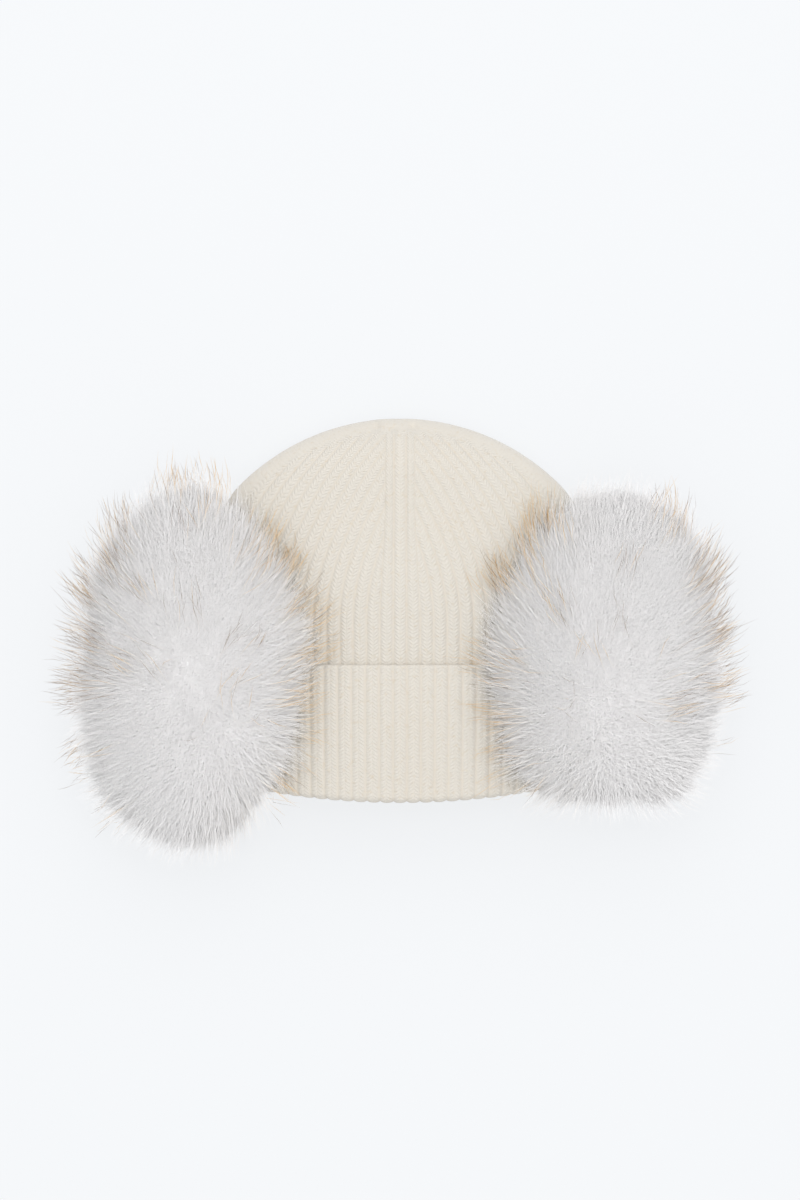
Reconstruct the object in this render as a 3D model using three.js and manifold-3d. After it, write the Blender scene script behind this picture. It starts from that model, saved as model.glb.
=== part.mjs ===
// Earmuff beanie: a rib-knit hat with a turned-up cuff and a deep fur muff over each ear.
// It lies on its back with its front up: millimetres, +Z up, crown towards +Y, opening
// towards -Y. The origin is on the surface that it lies on, under the middle of its back.
import * as THREE from "three";
import { mergeVertices } from "three/addons/utils/BufferGeometryUtils.js";
import Module from "manifold-3d";

const wasm = await Module();
wasm.setup();

// Knit
const KNIT = 3.4; // thickness of one layer, over its ribs
const GAP = 0.4; // between two layers
const BERTH = 0.9; // between the knit and the fur's backing
const RIBS = 62; // round the hat, with one down the middle of the front
const RIB_DEPTH = 1.3; // how far the furrows lie below the ribs
const PRESSED = 2.5; // ribs this close to the surface below are pressed flat

// Hat: the outer face of the body's single layer
const CROWN_END = 107.5; // y of the crown's far edge
const HEM = -107.5; // y of the folded lower edge
const CUFF_HEIGHT = 77;
const HALF_WIDTH = 104;
const DOME_RADIUS = 128; // of the arc over the crown, seen from above
const DOME_SLOPE = Math.PI / 4; // of that arc where the shoulder's arc takes over
const NOSE = 34; // length of the crown's rounded end, seen from the side
const NOSE_HEIGHT = 28; // of the crown's far edge
const APEX = 103; // y where the ribs run together, a little in front of the far edge
const APEX_TILT = THREE.MathUtils.degToRad(33); // of the first ring there
const SINK = 4; // how far the underside would bulge if nothing pressed it flat
const FRONT_ROUNDNESS = 2.1; // superellipse exponent of a cross-section over its widest line
const BACK_ROUNDNESS = 2.6; // and under it

// Cross-sections down the hat: y, top of the front, height of the widest line.
const LENGTHWISE = [
  { y: CROWN_END, front: 57, widest: NOSE_HEIGHT },
  { y: 70, front: 59, widest: 27 },
  { y: 20, front: 60, widest: 25 },
  { y: -40, front: 56, widest: 24 },
  { y: HEM, front: 52, widest: 25 },
];

// Muffs: middle and parting of the pile, seen from above.
const MUFFS = [
  { name: "left_muff", side: "left", x: -116, y: -34, partingX: -103, partingY: -57 },
  { name: "right_muff", side: "right", x: 113, y: -23, partingX: 115, partingY: -69 },
];
// Reach of the fur from that middle, by direction in degrees anticlockwise from +X.
const REACH = [
  { towards: 0, left: 74, right: 68 },
  { towards: 30, left: 82, right: 76 },
  { towards: 60, left: 94, right: 91 },
  { towards: 90, left: 104, right: 91 },
  { towards: 120, left: 90, right: 87 },
  { towards: 150, left: 72, right: 76 },
  { towards: 180, left: 66, right: 74 },
  { towards: 210, left: 74, right: 78 },
  { towards: 240, left: 92, right: 93 },
  { towards: 270, left: 103, right: 92 },
  { towards: 300, left: 92, right: 98 },
  { towards: 330, left: 80, right: 78 },
];
const MUFF_MIDDLE = 42; // height of a muff's widest line
const MUFF_RISE = 52; // from there to the top of the fur
const MUFF_DROP = 66; // from there down, if the surface below didn't press it flat
const MUFF_ROUNDNESS = 2.3; // superellipse exponent of its upright section
const CORE_SIDES = 18;
const PILE = 12; // how far the locks stand out of the padded core
const LOCKS = 54; // on each muff
const LOCK_WIDTH = 30;
const LOCK_THICKNESS = 14;
const LOCK_LEAN = 16; // of the tip, away from the parting
const GOLDEN_TURN = (3 - Math.sqrt(5)) / 2;

const CREAM = 0xe9e2d2;
const FUR_WHITE = 0xe6e4e6;

const LAYER = KNIT + GAP;
const CUFF_TOP = HEM + CUFF_HEIGHT;
const BODY_END = HEM + LAYER; // where the body's layer stops, inside the fold
const DOME_Y = CROWN_END - DOME_RADIUS;
const SHOULDER_RADIUS =
  (HALF_WIDTH - DOME_RADIUS * Math.sin(DOME_SLOPE)) / (1 - Math.sin(DOME_SLOPE));
const SHOULDER_X = HALF_WIDTH - SHOULDER_RADIUS;
const SHOULDER_Y = DOME_Y + (DOME_RADIUS - SHOULDER_RADIUS) * Math.cos(DOME_SLOPE);

const mix = (a, b, t) => a + (b - a) * t;
const ease = (t) => THREE.MathUtils.smoothstep(t, 0, 1);
const arc = (length, radius) => Math.sqrt(Math.max(radius ** 2 - length ** 2, 0));

function solid(geometry) {
  const merged = mergeVertices(geometry, 1e-4);
  return new wasm.Manifold(
    new wasm.Mesh({
      numProp: 3,
      vertProperties: merged.attributes.position.array,
      triVerts: new Uint32Array(merged.index.array),
    }),
  );
}

// The largest body of a solid as a mesh, without crumbs or pockets.
function meshOf(name, made, material) {
  const [body] = made.decompose().sort((a, b) => b.volume() - a.volume());
  const shape = body.getMesh();
  const geometry = new THREE.BufferGeometry();
  geometry.setAttribute("position", new THREE.BufferAttribute(shape.vertProperties, 3));
  geometry.setIndex(new THREE.BufferAttribute(shape.triVerts, 1));
  geometry.computeVertexNormals();
  const mesh = new THREE.Mesh(geometry, material);
  mesh.name = name;
  return mesh;
}

// A closed skin over rings of equally many points, with a fan over each end.
function loft(rings) {
  const count = rings[0].length;
  const last = (rings.length - 1) * count;
  const middle = (ring) =>
    ring.reduce((sum, p) => sum.add(p), new THREE.Vector3()).divideScalar(count);
  const points = [...rings.flat(), middle(rings[0]), middle(rings.at(-1))];
  const cap = points.length - 2;
  const index = [];
  for (let k = 0; k < count; k++) {
    const next = (k + 1) % count;
    index.push(cap, k, next, cap + 1, last + next, last + k);
    for (let row = 0; row < last; row += count) {
      index.push(row + k, row + count + k, row + next);
      index.push(row + next, row + count + k, row + count + next);
    }
  }
  const geometry = new THREE.BufferGeometry().setFromPoints(points);
  geometry.setIndex(index);
  return solid(geometry);
}

// Half the hat's width at y, seen from above.
function halfWidth(y, inset) {
  const edge = DOME_RADIUS - inset;
  if (y - DOME_Y > edge * Math.cos(DOME_SLOPE)) return arc(y - DOME_Y, edge);
  return SHOULDER_X + arc(Math.max(y - SHOULDER_Y, 0), SHOULDER_RADIUS - inset);
}

// The cross-section at y of the body's outer face, moved inwards by inset.
function section(y, inset) {
  const after = LENGTHWISE.findIndex((row) => row.y < y);
  const below = LENGTHWISE.at(after > 0 ? after : -1);
  const above = LENGTHWISE[LENGTHWISE.indexOf(below) - 1];
  const t = ease((above.y - y) / (above.y - below.y));
  const ahead = Math.max((y - CROWN_END + NOSE) / (NOSE - inset), 0);
  const swell = arc(ahead, 1);
  const lift = LAYER * ease((CUFF_TOP + LAYER - y) / LAYER);
  return {
    half: halfWidth(y, inset),
    widest: mix(above.widest, below.widest, t),
    front: mix(NOSE_HEIGHT, mix(above.front, below.front, t) - inset, swell),
    back: mix(NOSE_HEIGHT, lift + inset, swell),
  };
}

function isInside({ x, y, z }, inset) {
  const { half, widest, front, back } = section(y, inset);
  if (y > CROWN_END - inset || z < back || half < 0.01) return false;
  const upper = z > widest;
  const reach = upper ? front - widest : widest - back + SINK;
  const power = upper ? FRONT_ROUNDNESS : BACK_ROUNDNESS;
  return Math.abs(x / half) ** power + Math.abs((z - widest) / reach) ** power < 1;
}

// Rings follow a line that leaves the apex at a slant and then runs straight to the hem.
const MID_HEIGHT = 30;
const APEX_HEIGHT = section(APEX, 0).front - 0.2;
const FIRST_LEG = (APEX_HEIGHT - MID_HEIGHT) / Math.tan(APEX_TILT);
const bend = new THREE.QuadraticBezierCurve(
  new THREE.Vector2(APEX, APEX_HEIGHT),
  new THREE.Vector2(APEX - FIRST_LEG, MID_HEIGHT),
  new THREE.Vector2(APEX - 2.5 * FIRST_LEG, MID_HEIGHT),
);

// A place for a ring: a share of that bend, or a plain y below it.
function frameOf(place) {
  if (place.share === undefined) return { y: place.y, z: MID_HEIGHT, tilt: 0 };
  const at = bend.getPoint(place.share);
  const ahead = bend.getTangent(place.share);
  return { y: at.x, z: at.y, tilt: Math.atan2(-ahead.y, -ahead.x) };
}

// Points at equal distances round a closed outline.
function evenly(outline, count) {
  const walk = [0];
  outline.forEach((p, k) => walk.push(walk[k] + p.distanceTo(outline.at(k + 1 - outline.length))));
  const points = [];
  let k = 0;
  for (let n = 0; n < count; n++) {
    const goal = (n / count) * walk.at(-1);
    while (walk[k + 1] <= goal) k++;
    const t = (goal - walk[k]) / (walk[k + 1] - walk[k]);
    points.push(outline[k].clone().lerp(outline.at(k + 1 - outline.length), t));
  }
  return points;
}

// The outline in which a plane at a place cuts the hat, from the front's middle round.
function ring(place, inset, count) {
  const { y, z, tilt } = frameOf(place);
  const rays = 8 * RIBS;
  const outline = [];
  for (let k = 0; k < rays; k++) {
    const angle = (k / rays) * 2 * Math.PI;
    const up = Math.cos(angle);
    const ray = new THREE.Vector3(Math.sin(angle), -up * Math.sin(tilt), up * Math.cos(tilt));
    let near = 0;
    let far = 2 * HALF_WIDTH;
    while (far - near > 1e-6) {
      const radius = (near + far) / 2;
      const point = ray.clone().multiplyScalar(radius).add({ x: 0, y, z });
      if (isInside(point, inset)) near = radius;
      else far = radius;
    }
    outline.push(ray.multiplyScalar(near).add({ x: 0, y, z }));
  }
  return evenly(outline, count);
}

// A ring of ribs and furrows in turn, pressed flat where it meets the surface below.
function ribbed(place, inset, depth = RIB_DEPTH) {
  const points = ring(place, inset, 2 * RIBS);
  const ahead = new THREE.Vector3(0, 1, 0);
  return points.map((p, k) => {
    const along = points[(k + 1) % points.length].clone().sub(points.at(k - 1));
    const inward = ahead.clone().cross(along).normalize();
    const free = ease(p.z / PRESSED - 0.2) * Math.min(along.length() / (2 * RIB_DEPTH), 1);
    return p.clone().addScaledVector(inward, (k % 2) * depth * free);
  });
}

// The body: one layer from the apex down to the inside of the hem's fold.
function makeCrown() {
  const shares = [0.01, 0.05, 0.12, 0.23, 0.38, 0.6, 1];
  const open = [...shares.map((share) => ({ share })), { y: 42 }, { y: 28 }];
  open.push({ y: CUFF_TOP + LAYER });
  const covered = [{ y: CUFF_TOP }, { y: BODY_END }];
  const rings = open.map((place) => ribbed(place, 0));
  return loft([...rings, ...covered.map((place) => ribbed(place, 0, 0))]).subtract(
    loft(hollow(BODY_END - 1)),
  );
}

// The space inside the body, down to y.
function hollow(y) {
  const shares = [0.14, 0.23, 0.38, 0.6, 1];
  const places = [...shares.map((share) => ({ share })), { y: 42 }, { y: 28 }];
  places.push({ y: CUFF_TOP + LAYER }, { y: CUFF_TOP }, { y });
  return places.map((place) => ring(place, KNIT, RIBS));
}

// The cuff: the same layer folded up over the body, with rounded edges.
function makeCuff() {
  const turns = [0, 45, 85].map(THREE.MathUtils.degToRad);
  const edge = KNIT / 2;
  const fold = (KNIT + LAYER) / 2;
  const upper = [1, 0].map((turn) => {
    const y = CUFF_TOP - edge * (1 - Math.sin(turn));
    return ribbed({ y }, -GAP - edge * (1 + Math.cos(turn)));
  });
  const hem = (side) =>
    turns.map((turn) => ({
      y: HEM + fold * (1 - Math.sin(turn)),
      inset: KNIT - fold + side * fold * Math.cos(turn),
    }));
  const lower = hem(-1).map(({ y, inset }) => ribbed({ y }, inset));
  const body = [CUFF_TOP + 0.02, BODY_END - GAP].map((y) => ring({ y }, -GAP, 2 * RIBS));
  const mouth = hem(1).map(({ y, inset }) => ring({ y }, inset, RIBS));
  const inside = ring({ y: BODY_END }, KNIT, RIBS);
  const below = ring({ y: HEM - 1 }, KNIT - fold, RIBS);
  return loft([...upper, ...lower])
    .subtract(loft(body))
    .subtract(loft([inside, ...mouth, below]));
}

// What the muffs leave free: the hat, filled, with a gap round it.
function makeBerth() {
  const shares = [0.12, 0.23, 0.38, 0.6, 1];
  const upper = [...shares.map((share) => ({ share })), { y: 42 }, { y: 28 }];
  upper.push({ y: CUFF_TOP + LAYER });
  const step = CUFF_TOP + GAP;
  return loft([
    ...upper.map((place) => ring(place, -BERTH, RIBS)),
    ring({ y: step }, -BERTH, RIBS),
    ring({ y: step - 0.1 }, -BERTH - LAYER, RIBS),
    ring({ y: HEM - BERTH }, -BERTH - LAYER, RIBS),
  ]);
}

// A point on a muff: turn anticlockwise from +X, rise from the widest line, both in shares.
function muffOutline({ side }) {
  const points = REACH.map((row) => {
    const angle = THREE.MathUtils.degToRad(row.towards);
    return new THREE.Vector3(Math.cos(angle), Math.sin(angle)).multiplyScalar(row[side]);
  });
  return new THREE.CatmullRomCurve3(points, true);
}

function pointOn(muff, outline, turn, rise, inset) {
  const power = 2 / MUFF_ROUNDNESS;
  const plan = outline.getPoint(THREE.MathUtils.euclideanModulo(turn, 1));
  const across = Math.cos(rise) ** power;
  const high = Math.sign(rise) * Math.abs(Math.sin(rise)) ** power;
  const most = rise > 0 ? MUFF_RISE : MUFF_DROP;
  plan.setLength((plan.length() - inset) * across);
  return plan.add({ x: muff.x, y: muff.y, z: MUFF_MIDDLE + (most - inset) * high });
}

function makeCore(muff, outline) {
  const rises = [84, 70, 50, 28, 5, -20, -45, -65];
  const rings = rises.map((degrees) => {
    const rise = THREE.MathUtils.degToRad(degrees);
    return Array.from({ length: CORE_SIDES }, (_, k) =>
      pointOn(muff, outline, k / CORE_SIDES, rise, PILE),
    );
  });
  return loft(rings);
}

// One ridged lock, from inside the core to a tip that leans away from the parting.
function makeLock(muff, outline, n) {
  const rise = Math.asin(mix(-0.6, 0.99, (n + 0.5) / LOCKS));
  const turn = n * GOLDEN_TURN;
  const step = 0.01;
  const at = (a, b, inset) => pointOn(muff, outline, turn + a, rise + b, inset);
  const round = at(step, 0, 0).sub(at(-step, 0, 0));
  const out = round.cross(at(0, step, 0).sub(at(0, -step, 0))).normalize();
  const root = at(0, 0, PILE).addScaledVector(out, -PILE / 2);
  const parting = new THREE.Vector3(muff.partingX, muff.partingY, MUFF_MIDDLE + MUFF_RISE);
  const away = root.clone().sub(parting);
  const lean = away.clone().projectOnPlane(out).normalize();
  const size = 0.8 + 0.4 * THREE.MathUtils.seededRandom(n + 1);
  lean.multiplyScalar(LOCK_LEAN * size * Math.min(away.length() / PILE - 1, 1));
  const tip = at(0, 0, PILE * (1 - size)).addScaledVector(lean, 1);
  const wide = lean.clone().cross(out).normalize();
  const line = new THREE.QuadraticBezierCurve3(root, tip.clone().sub(lean), tip);
  const rings = [
    { share: 1, width: 0.06 },
    { share: 0.6, width: 0.7 },
    { share: 0, width: 1 },
  ].map(({ share, width }) => {
    const thin = line.getTangent(share).cross(wide).normalize();
    const middle = line.getPoint(share);
    const side = wide.clone().multiplyScalar((LOCK_WIDTH / 2) * width * size);
    const under = thin.multiplyScalar((LOCK_THICKNESS / 2) * width * size);
    const low = middle.clone().addScaledVector(under, 0.4);
    return [low.clone().add(side), low.sub(side), middle.sub(under)];
  });
  return loft(rings);
}

function makeMuff(muff, berth) {
  const outline = muffOutline(muff);
  const locks = Array.from({ length: LOCKS }, (_, n) => makeLock(muff, outline, n));
  const fur = wasm.Manifold.union([makeCore(muff, outline), ...locks]);
  return fur.trimByPlane([0, 0, 1], 0).subtract(berth);
}

const knit = new THREE.MeshStandardMaterial({ color: CREAM, roughness: 0.95 });
const fur = new THREE.MeshStandardMaterial({ color: FUR_WHITE, roughness: 1 });
const group = new THREE.Group();
group.name = "earmuff_beanie";
group.add(meshOf("crown", makeCrown(), knit.clone()));
group.add(meshOf("cuff", makeCuff(), knit.clone()));
const berth = makeBerth();
for (const muff of MUFFS) {
  group.add(meshOf(muff.name, makeMuff(muff, berth), fur.clone()));
}

export default group;
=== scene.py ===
"""Earmuff beanie: cream rib knit, a turned-up cuff and a deep white fur muff over each ear.

It lies on its back on a pale table and is seen straight from above. Everything is laid out
in millimetres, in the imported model's frame, and turned into metres as each mesh is made.
"""

import math

import bpy
import numpy as np
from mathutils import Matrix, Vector


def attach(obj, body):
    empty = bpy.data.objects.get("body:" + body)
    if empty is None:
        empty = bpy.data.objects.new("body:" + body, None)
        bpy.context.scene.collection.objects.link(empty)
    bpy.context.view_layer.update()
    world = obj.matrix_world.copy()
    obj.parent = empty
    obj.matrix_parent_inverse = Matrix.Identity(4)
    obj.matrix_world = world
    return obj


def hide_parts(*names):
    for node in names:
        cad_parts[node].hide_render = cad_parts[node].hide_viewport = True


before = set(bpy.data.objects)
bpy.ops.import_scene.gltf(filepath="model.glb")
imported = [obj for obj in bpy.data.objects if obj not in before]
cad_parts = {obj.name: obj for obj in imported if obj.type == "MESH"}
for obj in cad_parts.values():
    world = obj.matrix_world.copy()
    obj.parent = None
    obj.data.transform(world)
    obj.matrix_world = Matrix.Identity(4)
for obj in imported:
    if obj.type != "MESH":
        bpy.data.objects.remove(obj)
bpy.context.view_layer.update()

MM = 0.001
TINY = 1e-6  # the least size that a section of the hat is divided by

# Knit
KNIT = 3.4  # thickness of one layer
GAP = 0.4  # between the cuff and the body
LAYER = KNIT + GAP
RIBS = 62
RIB_DEPTH = 0.8
EDGE_RIB_DEPTH = 0.3  # round the edges that are rolled under
FURROW_POWER = 3  # the higher, the flatter the ribs and the narrower their furrows
STITCH = 2.0  # height of one stitch
COURSE_TILT = 0.7  # share of the ribs' lean that their rows of stitches follow
PRESSED = 2.5  # below this height the ribs are pressed flat against the table
PRESSED_FLAT = 0.2  # share of that height in which there are no ribs at all
FULL_SIZE = 60  # an outline shorter than this has shallower ribs

# Hat, as laid out in the solid model
CROWN_END = 107.5
HEM = -107.5
CUFF_TOP = HEM + 77
BODY_END = HEM + LAYER
HALF_WIDTH = 104
DOME_RADIUS = 128
DOME_SLOPE = math.pi / 4
NOSE = 34
NOSE_HEIGHT = 28
SINK = 4  # how far the back's curve would run on below the table
FRONT_ROUNDNESS = 2.1
BACK_ROUNDNESS = 2.6
HEM_BOW = 5.2  # how much higher the hem runs at BOW_REACH to either side of its middle
BOW_REACH = 70
BOW_MOST = 1.4  # in such reaches, where the hem levels out
BOW_TOP = -80
BOW_BLEND = 25
HEM_SCALLOP = 1.0  # how far each furrow notches the hem
SCALLOP_HEIGHT = 4

# Cross-sections up the hat
LENGTHWISE = [
    dict(y=HEM, front=52, widest=25),
    dict(y=-40, front=56, widest=24),
    dict(y=20, front=60, widest=25),
    dict(y=70, front=59, widest=27),
    dict(y=CROWN_END, front=57, widest=NOSE_HEIGHT),
]

# Shaping of the crown: ribs lean towards an upright band up the middle and end against it.
QUARTER_RIBS = RIBS / 4
BAND_RIBS = 1.5
BAND_NARROWING = 0.72
NARROW_START = -5
NARROW_LENGTH = 60
BAND_MOST = 0.11  # share of an outline that half the band takes at most
LEAN_START = -10
LEAN_LENGTH = 114
LEAN_REACH = 48
LEAN_POWER = 2.3
SIDE_HOLD = 0.9  # share of that lean that the ribs along the side don't take, low down
SIDE_HOLD_UNTIL = 50
SIDE_HOLD_FADE = 40
TOP_PITCH = 6.9
TOP_PITCH_LENGTH = 75  # how far from LEAN_START the ribs take to come to it

# Smooth turn along the crown's outline, where the ribs run out
RIM = 11  # how far in from the outline it begins
RIM_BLEND = 5
RIM_START = 40
RIM_RUN_IN = 25
UNDER_RIM = NOSE_HEIGHT + 12
UNDER_RIM_BLEND = 18
UNDER_RIM_RIBS = 0.6  # share of the ribs' depth that is kept below the rim

# Small folds on the front where the crown is drawn together: above zero is a dimple.
GATHER_FLOOR = NOSE_HEIGHT - 16
GATHERS = [
    dict(x=7.5, y=101.5, radius=2.8, depth=3.6),
    dict(x=-13.5, y=102, radius=2.8, depth=3.0),
    dict(x=-3.5, y=100.5, radius=2.2, depth=1.8),
    dict(x=-10, y=106, radius=4.5, depth=-1.7),
    dict(x=0, y=107, radius=3.5, depth=1.1),
    dict(x=8, y=107, radius=5, depth=-0.7),
]

# How finely the knit is laid out
RAYS = 1200  # from the middle of a section out to its outline
HALVINGS = 26  # of a ray's length, as its outline is closed in on
BAND_COLUMNS = 18
SIDE_COLUMNS = 137
COLUMNS = 4 * (BAND_COLUMNS + SIDE_COLUMNS)
NOSE_ROWS = 42
BODY_ROWS = 60
CUFF_ROWS = 50
FOLD_ROWS = 15
CUFF_EDGE_ROWS = 9
TUCK = 6  # how far the body's ribs run on under the cuff

# Muffs, and the line on each that its fur is parted along
MUFFS = [
    dict(name="left_muff", side="left", x=-116, y=-34, seed=11,
         parting=(-101, -64), parting_end=(-110, -42)),
    dict(name="right_muff", side="right", x=113, y=-23, seed=23,
         parting=(113, -76), parting_end=(108, -54)),
]
# How far a muff reaches in plan, by degrees round it
REACH = [
    dict(towards=0, left=74, right=68),
    dict(towards=30, left=82, right=76),
    dict(towards=60, left=94, right=91),
    dict(towards=90, left=104, right=91),
    dict(towards=120, left=90, right=87),
    dict(towards=150, left=72, right=76),
    dict(towards=180, left=66, right=74),
    dict(towards=210, left=74, right=78),
    dict(towards=240, left=92, right=93),
    dict(towards=270, left=103, right=92),
    dict(towards=300, left=92, right=98),
    dict(towards=330, left=80, right=78),
]
# How far inside that the white fur ends, where thin tinted hairs go on
WHITE_EDGE = [
    dict(towards=0, left=8, right=8),
    dict(towards=30, left=10, right=9),
    dict(towards=60, left=11, right=8),
    dict(towards=90, left=4, right=4),
    dict(towards=120, left=6, right=12),
    dict(towards=150, left=9, right=11),
    dict(towards=180, left=6, right=6),
    dict(towards=210, left=5, right=8),
    dict(towards=240, left=5, right=7),
    dict(towards=270, left=5, right=8),
    dict(towards=300, left=11, right=9),
    dict(towards=330, left=11, right=8),
]
MUFF_MIDDLE = 42
MUFF_RISE = 52
MUFF_DROP = 66
MUFF_ROUNDNESS = 2.3
BERTH = 0.9  # how far fur and padding keep from the hat
FLOOR_CLEAR = 0.6
RIM_POWER = 4  # the higher, the narrower the belt round a muff that counts as its rim

# Padding
PADDING_INSET = 8
RIM_PADDING = 6  # how far inside the white fur's edge the padding ends
PADDING_COLUMNS = 96
PADDING_ROWS = 40
PADDING_TOP = 86  # in degrees above the muff's widest
PADDING_FOOT = -62

# Coats of fur: how many points a hair has and how many hairs are strewn, how far their tips
# stay inside the muff's reach on top and inside the white fur's edge round the rim, how
# unevenly they end, how far and how loosely they lie over, how far they gather into locks,
# how wide they are, and how much further they reach out over the hat.
COATS = [
    dict(name="underfur", knots=2, count=32000, inset=6, rim=2.5, spread=0.8,
         sweep=10, wander=0.6, hold=0.25, width=0.6, drape=0),
    dict(name="pile", knots=3, count=13500, inset=5.2, rim=-1, spread=0.9,
         sweep=14, wander=0.4, hold=0.3, width=0.24, drape=0),
    dict(name="guard_hairs", knots=4, count=7000, inset=4, rim=-8, spread=1.2,
         sweep=20, wander=0.25, hold=0.5, width=0.18, drape=0),
    dict(name="tinted_hairs", knots=5, count=24000, inset=-2.5, rim=-15, spread=3,
         sweep=22, wander=0.4, hold=0.45, width=0.21, drape=6),
]
RIM_SPREAD = 3.2  # how much more unevenly hairs end round the rim
FURTHEST = 20  # the most that hairs are set to end past the muff's reach
SHORTEST = 3
HAIR_UNEVENNESS = 0.8  # in a coat's spreads, as the next one is
MOST_UNEVEN = 1.8
SWEEP_RANGE = (0.6, 1.4)
WIDTH_RANGE = (0.7, 1.3)
CRINKLE = 0.5  # how far a hair's tip strays by itself

# Where hairs are rooted
LOWEST_ROOT = -38  # in degrees below the muff's widest
ROOT_FLOOR = 2
ROOT_BERTH = 1.0
SPARE_PLACES = 7  # places tried for each hair
DENSEST = 0.995  # quantile of the patches' areas from which every place is kept

# Locks: hairs follow the nearest of these guides, loosely, and more so towards their tips.
GUIDES = 620
GUIDE_WANDER = 0.3
GUIDE_SWEEP = (0.7, 1.3)
GUIDE_HOLD = (0.3, 1.0)
GUIDE_UNEVENNESS = 0.5
HOLD_POWER = 1.3
POINTS_AT_ONCE = 2000

# How hairs lie
PARTING_WIDTH = 20
PARTING_LOOSENESS = 1.5
DROOP = 0.6  # share of the way down that hairs lying downhill take
EARLY_RISE = 0.3  # how much faster a hair rises at its root
EARLY_LEAN = 0.45  # how fast it leans over there, where 1 is even

# How a hair is made and shaded
HAIR_SIDES = 3
TAPER = 0.4
TAPER_POWER = 1.5
OFF_AXIS = (0.31, 0.17, 0.93)  # a direction that next to no hair runs in
FACING = 0.85  # how far a hair is shaded as the fur's surface, and not as its own thread
LIFT = 3.2  # how far that surface is shaded as if it faced upwards, for light within fur
MAP_STEP = 0.004  # gives each hair some width on its map
MAP_MARGIN = 0.02

# Kinds of hair, as the hair map gives them
WHITE_KINDS = 0.2  # white is from zero up to this, a little duller as it goes
PAINTED_WARM_LIGHT_KIND = 0.22  # added to white beside the hat: painted warm light in the shaded crease between fur and knit
TAN_KIND = 0.65
BROWN_KIND = 0.9

TINTED_SHARE = 0.33
TINT_POWER = 0.7  # below 1 keeps more hairs where a spot runs out
LOCK_LUCK = 0.25  # how far whole locks are tinted, and not single hairs
STRAY_TINT = 0.02
STRAY_DARK = 0.5

# Where the fur's tips are tinted, measured from the muff's middle: how much of the fur is,
# and how much of that is brown and not tan.
TINTS = dict(
    left_muff=[
        dict(x=-43, y=90, radius=15, amount=0.7, dark=0.65),
        dict(x=-47, y=67, radius=16, amount=0.75, dark=0.65),
        dict(x=-67, y=50, radius=16, amount=0.8, dark=0.75),
        dict(x=-70, y=22, radius=17, amount=0.85, dark=0.75),
        dict(x=-73, y=-8, radius=16, amount=0.75, dark=0.7),
        dict(x=-69, y=-53, radius=12, amount=0.5, dark=0.6),
        dict(x=-54, y=-81, radius=11, amount=0.4, dark=0.4),
        dict(x=-11, y=112, radius=12, amount=0.6, dark=0.4),
        dict(x=15, y=110, radius=11, amount=0.5, dark=0.2),
        dict(x=-5, y=95, radius=7, amount=0.7, dark=0.7),
        dict(x=-2, y=53, radius=12, amount=0.55, dark=0.6),
        dict(x=-26, y=14, radius=9, amount=0.6, dark=0.8),
        dict(x=-39, y=14, radius=9, amount=0.6, dark=0.5),
        dict(x=38, y=25, radius=8, amount=0.7, dark=0.8),
        dict(x=33, y=-1, radius=8, amount=0.45, dark=0.3),
        dict(x=47, y=83, radius=15, amount=0.95, dark=0.15),
        dict(x=56, y=68, radius=15, amount=1.0, dark=0.2),
        dict(x=76, y=42, radius=17, amount=0.9, dark=0.3),
        dict(x=76, y=13, radius=14, amount=0.8, dark=0.15),
        dict(x=75, y=-12, radius=13, amount=0.7, dark=0.05),
        dict(x=67, y=-38, radius=13, amount=0.6, dark=0.1),
        dict(x=56, y=-67, radius=12, amount=0.6, dark=0.3),
    ],
    right_muff=[
        dict(x=-39, y=84, radius=14, amount=0.95, dark=0.2),
        dict(x=-49, y=70, radius=13, amount=0.95, dark=0.15),
        dict(x=-63, y=52, radius=13, amount=1.0, dark=0.35),
        dict(x=-47, y=54, radius=11, amount=0.7, dark=0.3),
        dict(x=-32, y=35, radius=10, amount=0.6, dark=0.4),
        dict(x=6, y=27, radius=6, amount=0.8, dark=0.9),
        dict(x=13, y=56, radius=7, amount=0.5, dark=0.7),
        dict(x=-9, y=8, radius=8, amount=0.5, dark=0.3),
        dict(x=38, y=84, radius=13, amount=0.6, dark=0.4),
        dict(x=64, y=58, radius=14, amount=0.75, dark=0.65),
        dict(x=66, y=38, radius=14, amount=0.8, dark=0.65),
        dict(x=75, y=8, radius=16, amount=0.8, dark=0.7),
        dict(x=75, y=-11, radius=13, amount=0.7, dark=0.65),
        dict(x=42, y=-23, radius=12, amount=0.45, dark=0.4),
        dict(x=77, y=-52, radius=9, amount=0.4, dark=0.8),
        dict(x=-49, y=-14, radius=8, amount=0.5, dark=0.8),
        dict(x=-24, y=-23, radius=10, amount=0.4, dark=0.3),
        dict(x=-74, y=-8, radius=15, amount=0.85, dark=0.15),
        dict(x=-73, y=-32, radius=14, amount=0.8, dark=0.15),
        dict(x=-61, y=-57, radius=13, amount=0.6, dark=0.15),
        dict(x=-64, y=-78, radius=13, amount=0.5, dark=0.2),
    ],
)

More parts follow.
